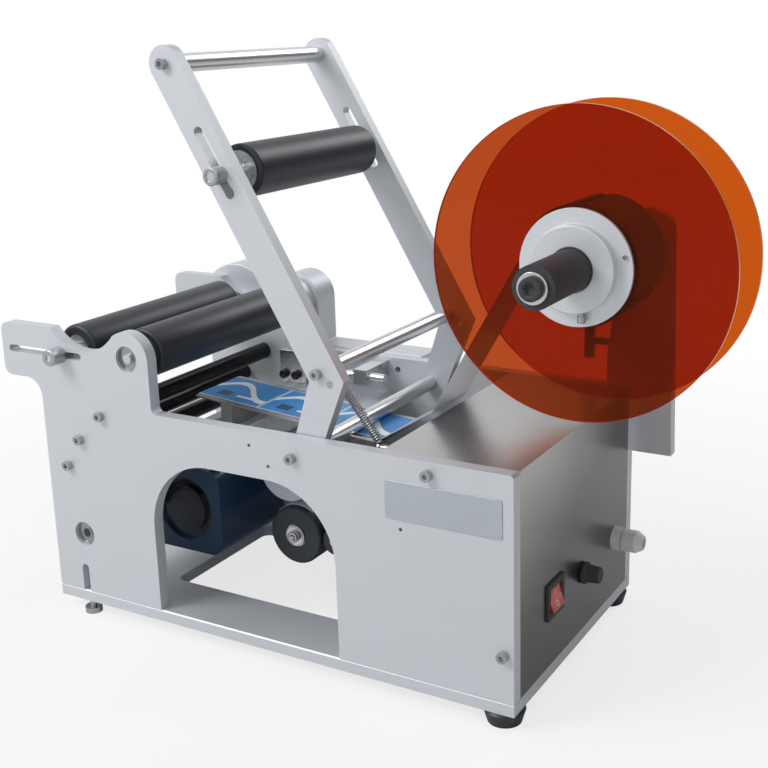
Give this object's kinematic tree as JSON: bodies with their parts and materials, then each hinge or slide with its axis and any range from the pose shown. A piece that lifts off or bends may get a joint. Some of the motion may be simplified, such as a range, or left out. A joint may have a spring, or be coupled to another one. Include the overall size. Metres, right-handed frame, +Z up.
{
  "type": "bottle labelling machine",
  "caption": "Semi-automatic round-bottle labeller: plate frame, bottle rollers, swing-down pressing roller, amber label reel and control box",
  "frame": {"origin": "centre of the bounding box in plan, on the surface that the feet stand on", "axes": "+X from the bottle rollers to the control box, +Y from the near side plate to the far one, +Z up"},
  "size_m": [0.612, 0.286, 0.49],
  "materials": {
    "sandblasted_aluminium": "fine sand-blasted and anodised silver",
    "bright_steel": "polished round bar",
    "screw_steel": "zinc-plated fasteners",
    "black_rubber": "smooth blue-black moulded rubber",
    "turned_aluminium": "turned aluminium",
    "brushed_stainless": "brushed stainless sheet",
    "dark_sheet": "dark grey coated sheet",
    "amber_acrylic": "clear amber acrylic sheet",
    "black_plastic": "black moulded plastic",
    "red_plastic": "translucent red switch rocker",
    "white_nylon": "white nylon",
    "motor_paint": "dark blue-grey gloss enamel",
    "belt_rubber": "black toothed belt",
    "label_film": "blue labels on a pale liner"
  },
  "bodies": {
    "frame": {"base_plate": "sandblasted_aluminium", "near_side_plate": "sandblasted_aluminium", "far_side_plate": "sandblasted_aluminium", "frame_fasteners": "screw_steel", "rubber_feet": "black_rubber", "levelling_feet": "screw_steel", "frame_tie_rods": "bright_steel", "plate_bearings": "screw_steel", "pivot_rod": "bright_steel", "return_spring": "screw_steel", "label_table": "sandblasted_aluminium", "peel_plate": "brushed_stainless", "label_web": "label_film", "sensor_mount": "turned_aluminium", "control_box_cover": "brushed_stainless", "control_box_front": "dark_sheet", "switch_housing": "black_plastic", "box_electrics": "black_plastic", "cable_gland": "white_nylon", "reel_bracket": "sandblasted_aluminium", "reel_axle": "bright_steel", "motor_body": "motor_paint", "motor_gearbox": "turned_aluminium", "drive_belts": "belt_rubber", "belt_cover": "sandblasted_aluminium"},
    "driven_roller": {"driven_roller_core": "turned_aluminium", "driven_roller_rubber": "black_rubber"},
    "adjustable_slide": {"adjustable_shaft": "bright_steel"},
    "adjustable_roller": {"adjustable_roller_core": "turned_aluminium", "adjustable_roller_rubber": "black_rubber"},
    "near_clamp": {"near_clamp_nut": "bright_steel"},
    "far_clamp": {"far_clamp_nut": "bright_steel"},
    "lower_roller": {"lower_guide_roller": "black_rubber"},
    "swing_frame": {"near_swing_arm": "sandblasted_aluminium", "far_swing_arm": "sandblasted_aluminium", "handle_bar": "bright_steel", "cross_rod": "bright_steel", "arm_fasteners": "screw_steel"},
    "pressing_slide": {"pressing_shaft": "bright_steel"},
    "pressing_roller": {"pressing_roller_core": "turned_aluminium", "pressing_roller_rubber": "black_rubber"},
    "near_press_clamp": {"near_press_nut": "bright_steel"},
    "far_press_clamp": {"far_press_nut": "bright_steel"},
    "sensor": {"label_sensor": "turned_aluminium"},
    "rocker": {"switch_rocker": "red_plastic"},
    "knob": {"speed_knob": "black_plastic"},
    "reel": {"reel_sleeve": "black_plastic", "core_hub": "black_plastic", "rear_disc": "amber_acrylic"},
    "front_reel_disc": {"front_disc": "amber_acrylic", "front_flange": "turned_aluminium"},
    "motor_drive": {"motor_output": "turned_aluminium"},
    "traction_roller": {"traction_core": "turned_aluminium", "traction_rubber": "black_rubber"},
    "takeup": {"takeup_spool": "turned_aluminium"},
    "pinch_arm": {"pinch_lever": "screw_steel"},
    "pinch": {"pinch_roller": "black_rubber"},
    "reel_clamp": {"clamp_screw": "black_plastic"}
  },
  "joints": [
    {"name": "swing", "type": "hinge", "parent": "frame", "child": "swing_frame", "pos_m": [-0.004, -0.0065, 0.182], "axis": [0, -1, 0], "range_deg": [0, 45], "stiffness_Nm_per_rad": 2, "springref_deg": -45.84, "deforming": ["return_spring"]},
    {"name": "driven_spin", "type": "hinge", "parent": "frame", "child": "driven_roller", "pos_m": [-0.164, -0.0065, 0.242], "axis": [0, 1, 0], "continuous": true},
    {"name": "adjust", "type": "slide", "parent": "frame", "child": "adjustable_slide", "axis": [1, 0, 0], "range_m": [-0.057, 0.0206]},
    {"name": "adjustable_spin", "type": "hinge", "parent": "adjustable_slide", "child": "adjustable_roller", "pos_m": [-0.238, -0.0065, 0.238], "axis": [0, 1, 0], "continuous": true},
    {"name": "near_clamp_turn", "type": "hinge", "parent": "adjustable_slide", "child": "near_clamp", "pos_m": [-0.238, -0.136, 0.238], "axis": [0, 1, 0], "continuous": true},
    {"name": "far_clamp_turn", "type": "hinge", "parent": "adjustable_slide", "child": "far_clamp", "pos_m": [-0.238, 0.123, 0.238], "axis": [0, 1, 0], "continuous": true},
    {"name": "lower_spin", "type": "hinge", "parent": "frame", "child": "lower_roller", "pos_m": [-0.2295, -0.0065, 0.0764], "axis": [0, 1, 0], "continuous": true},
    {"name": "press_adjust", "type": "slide", "parent": "swing_frame", "child": "pressing_slide", "axis": [-0.5, 0, 0.866], "range_m": [-0.016, 0.0365]},
    {"name": "pressing_spin", "type": "hinge", "parent": "pressing_slide", "child": "pressing_roller", "pos_m": [-0.0648, -0.0065, 0.39405], "axis": [0, 1, 0], "continuous": true},
    {"name": "near_press_turn", "type": "hinge", "parent": "pressing_slide", "child": "near_press_clamp", "pos_m": [-0.0648, -0.1235, 0.39405], "axis": [0, 1, 0], "continuous": true},
    {"name": "far_press_turn", "type": "hinge", "parent": "pressing_slide", "child": "far_press_clamp", "pos_m": [-0.0648, 0.1105, 0.39405], "axis": [0, 1, 0], "continuous": true},
    {"name": "sensor_shift", "type": "slide", "parent": "frame", "child": "sensor", "axis": [1, 0, 0], "range_m": [-0.008, 0.014]},
    {"name": "rocker_tilt", "type": "hinge", "parent": "frame", "child": "rocker", "pos_m": [0.181, -0.0555, 0.076], "axis": [0, 1, 0], "range_deg": [0, 14]},
    {"name": "speed_turn", "type": "hinge", "parent": "frame", "child": "knob", "pos_m": [0.188, 0.004, 0.071], "axis": [-1, 0, 0], "range_deg": [0, 280]},
    {"name": "reel_spin", "type": "hinge", "parent": "frame", "child": "reel", "pos_m": [0.191, -0.0065, 0.3285], "axis": [0, 1, 0], "continuous": true},
    {"name": "reel_width", "type": "slide", "parent": "reel", "child": "front_reel_disc", "axis": [0, -1, 0], "range_m": [0, 0.06]},
    {"name": "motor_spin", "type": "hinge", "parent": "frame", "child": "motor_drive", "pos_m": [-0.172, 0.115, 0.086], "axis": [0, 1, 0], "continuous": true},
    {"name": "traction_spin", "type": "hinge", "parent": "frame", "child": "traction_roller", "pos_m": [-0.064, -0.0065, 0.074], "axis": [0, 1, 0], "continuous": true},
    {"name": "takeup_spin", "type": "hinge", "parent": "frame", "child": "takeup", "pos_m": [-0.074, -0.0065, 0.13], "axis": [0, 1, 0], "continuous": true},
    {"name": "pinch_open", "type": "hinge", "parent": "frame", "child": "pinch_arm", "pos_m": [0.0003, 0.099, 0.064], "axis": [0, 1, 0], "range_deg": [0, 12], "stiffness_Nm_per_rad": 0.6, "springref_deg": -17.19},
    {"name": "pinch_spin", "type": "hinge", "parent": "pinch_arm", "child": "pinch", "pos_m": [-0.0257, -0.0065, 0.074], "axis": [0, 1, 0], "continuous": true},
    {"name": "reel_clamp_turn", "type": "hinge", "parent": "frame", "child": "reel_clamp", "pos_m": [0.151, 0.1215, 0.231], "axis": [1, 0, 0], "continuous": true}
  ],
  "couplings": [
    {"joint": "driven_spin", "follows": "motor_spin", "ratio": 1},
    {"joint": "traction_spin", "follows": "motor_spin", "ratio": 0.80769},
    {"joint": "takeup_spin", "follows": "motor_spin", "ratio": 0.80769},
    {"joint": "pinch_spin", "follows": "motor_spin", "ratio": -1.75}
  ]
}
